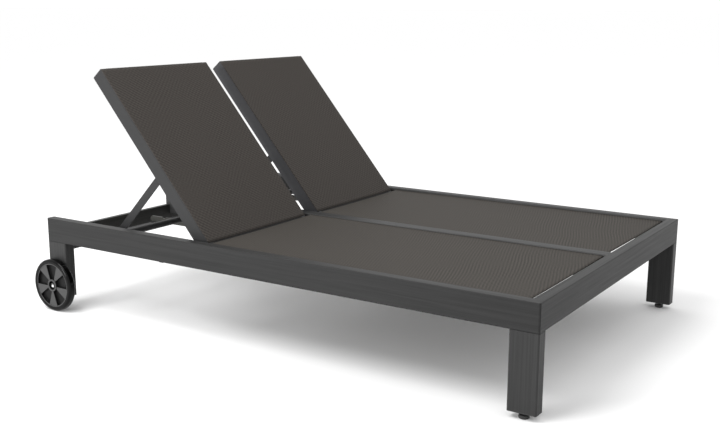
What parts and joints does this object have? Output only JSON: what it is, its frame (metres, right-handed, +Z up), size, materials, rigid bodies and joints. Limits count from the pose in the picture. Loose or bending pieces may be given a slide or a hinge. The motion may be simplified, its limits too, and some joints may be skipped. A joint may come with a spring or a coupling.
{
  "type": "double chaise lounger",
  "caption": "Low double outdoor chaise lounger with mesh slings, separately reclining backrests on notched racks, and wheels at the head end.",
  "frame": {"origin": "middle of the overall box, on the floor", "axes": "+X from the head end towards the foot end, +Y across from the near seat to the far seat, +Z up"},
  "size_m": [2.054, 1.393, 0.9166],
  "materials": {
    "grained_grey": "satin",
    "plain_grey": "satin",
    "dark_metal": "satin",
    "sling_mesh": "matte",
    "dark_plastic": "matte",
    "wheel_plastic": "satin",
    "tyre_rubber": "matte",
    "bolt_steel": "satin"
  },
  "bodies": {
    "frame": {"side_rail_near": "grained_grey", "side_rail_far": "grained_grey", "foot_rail": "grained_grey", "centre_rail": "grained_grey", "head_rail": "grained_grey", "side_rail_caps": "dark_plastic", "centre_rail_cap": "dark_plastic", "foot_leg_near": "grained_grey", "head_leg_near": "grained_grey", "head_leg_plug_near": "dark_plastic", "foot_glide_near": "dark_plastic", "seat_sling_near": "sling_mesh", "seat_bar_near": "plain_grey", "axle_near": "bolt_steel", "rack_near_inner": "plain_grey", "rack_near_outer": "plain_grey", "rack_tube_near_head": "plain_grey", "rack_tube_near_foot": "plain_grey", "foot_leg_far": "grained_grey", "head_leg_far": "grained_grey", "head_leg_plug_far": "dark_plastic", "foot_glide_far": "dark_plastic", "seat_sling_far": "sling_mesh", "seat_bar_far": "plain_grey", "axle_far": "bolt_steel", "rack_far_inner": "plain_grey", "rack_far_outer": "plain_grey", "rack_tube_far_head": "plain_grey", "rack_tube_far_foot": "plain_grey", "seat_splines": "dark_plastic", "axle_nuts": "bolt_steel", "hinge_spacers": "dark_plastic", "hinge_bolts": "bolt_steel"},
    "backrest_near": {"back_tube_near_inner": "plain_grey", "back_tube_near_outer": "plain_grey", "back_top_bar_near": "plain_grey", "back_bottom_bar_near": "dark_metal", "back_sling_near": "sling_mesh", "back_splines_near": "dark_plastic", "back_tube_caps_near": "dark_plastic", "prop_bolts_near": "bolt_steel"},
    "prop_near": {"prop_arm_near_inner": "plain_grey", "prop_arm_near_outer": "plain_grey", "prop_bar_near": "plain_grey"},
    "wheel_near": {"tyre_near": "tyre_rubber", "wheel_near": "wheel_plastic"},
    "backrest_far": {"back_tube_far_inner": "plain_grey", "back_tube_far_outer": "plain_grey", "back_top_bar_far": "plain_grey", "back_bottom_bar_far": "dark_metal", "back_sling_far": "sling_mesh", "back_splines_far": "dark_plastic", "back_tube_caps_far": "dark_plastic", "prop_bolts_far": "bolt_steel"},
    "prop_far": {"prop_arm_far_inner": "plain_grey", "prop_arm_far_outer": "plain_grey", "prop_bar_far": "plain_grey"},
    "wheel_far": {"tyre_far": "tyre_rubber", "wheel_far": "wheel_plastic"}
  },
  "joints": [
    {"name": "backrest_near_tilt", "type": "hinge", "parent": "frame", "child": "backrest_near", "pos_m": [-0.2373, -0.32475, 0.3236], "axis": [0, 1, 0], "range_deg": [-49.2, 15]},
    {"name": "prop_near_fold", "type": "hinge", "parent": "backrest_near", "child": "prop_near", "pos_m": [-0.44126, -0.32475, 0.56326], "axis": [0, 1, 0], "range_deg": [-28.3, 92.6]},
    {"name": "backrest_far_tilt", "type": "hinge", "parent": "frame", "child": "backrest_far", "pos_m": [-0.2373, 0.32475, 0.3236], "axis": [0, 1, 0], "range_deg": [-49.2, 15]},
    {"name": "prop_far_fold", "type": "hinge", "parent": "backrest_far", "child": "prop_far", "pos_m": [-0.44126, 0.32475, 0.56326], "axis": [0, 1, 0], "range_deg": [-28.3, 92.6]},
    {"name": "wheel_near_spin", "type": "hinge", "parent": "frame", "child": "wheel_near", "pos_m": [-0.927, -0.6815, 0.1], "axis": [0, 1, 0], "continuous": true},
    {"name": "wheel_far_spin", "type": "hinge", "parent": "frame", "child": "wheel_far", "pos_m": [-0.927, 0.6815, 0.1], "axis": [0, 1, 0], "continuous": true}
  ],
  "couplings": [
    {"joint": "prop_near_fold", "follows": "backrest_near_tilt", "ratio": -1.88},
    {"joint": "prop_far_fold", "follows": "backrest_far_tilt", "ratio": -1.88}
  ]
}
